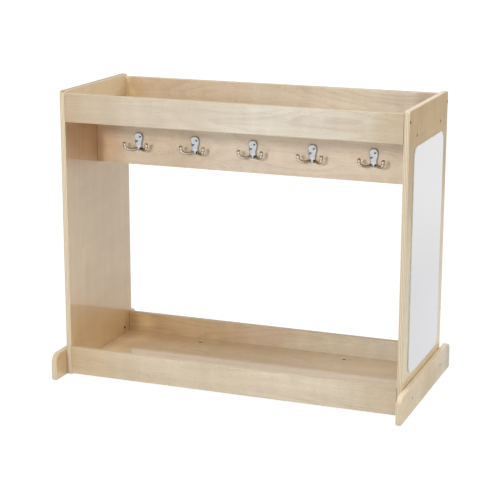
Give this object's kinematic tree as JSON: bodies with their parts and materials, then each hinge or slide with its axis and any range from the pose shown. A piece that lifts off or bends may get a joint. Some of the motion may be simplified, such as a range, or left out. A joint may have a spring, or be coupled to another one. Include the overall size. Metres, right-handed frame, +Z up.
{
  "type": "dress up storage unit with mirror",
  "caption": "Low birch plywood clothes unit for children: side panels on foot boards, a tray on top, a rail of double coat hooks, a tray below and a mirror on one side.",
  "frame": {"origin": "middle of the unit's footprint, on the floor it stands on", "axes": "+X to the unit's right, along its length; +Y from the hook side to the back; +Z up"},
  "size_m": [1, 0.52, 0.8],
  "materials": {
    "birch_plywood": "clear satin lacquer over rotary-cut birch veneer, sanded edges showing the plies",
    "bare_birch": "unfinished turned birch",
    "acrylic_mirror": "polished",
    "foam_tape": "matt",
    "nickel": "bright nickel plate",
    "bronzed_steel": "dark bronze finish",
    "zinc_steel": "zinc plated"
  },
  "bodies": {
    "root": {"left_side_panel": "birch_plywood", "right_side_panel": "birch_plywood", "top_front_board": "birch_plywood", "top_back_board": "birch_plywood", "upper_tray_floor": "birch_plywood", "hook_rail": "birch_plywood", "bottom_front_board": "birch_plywood", "bottom_back_board": "birch_plywood", "lower_tray_floor": "birch_plywood", "left_foot": "birch_plywood", "right_foot": "birch_plywood", "mirror_sheet": "acrylic_mirror", "mirror_tape": "foam_tape", "coat_hook_1": "nickel", "coat_hook_2": "nickel", "coat_hook_3": "nickel", "coat_hook_4": "nickel", "coat_hook_5": "nickel", "hook_screws": "nickel", "left_top_screws": "bronzed_steel", "right_top_screws": "bronzed_steel", "left_joint_screws": "bronzed_steel", "right_joint_screws": "bronzed_steel", "left_dowels": "bare_birch", "right_dowels": "bare_birch", "front_edge_dowels": "bare_birch", "left_foot_bolts": "bronzed_steel", "right_foot_bolts": "bronzed_steel", "foot_bolt_inserts": "zinc_steel", "back_board_bolts": "bronzed_steel", "barrel_nuts": "zinc_steel"}
  },
  "joints": []
}
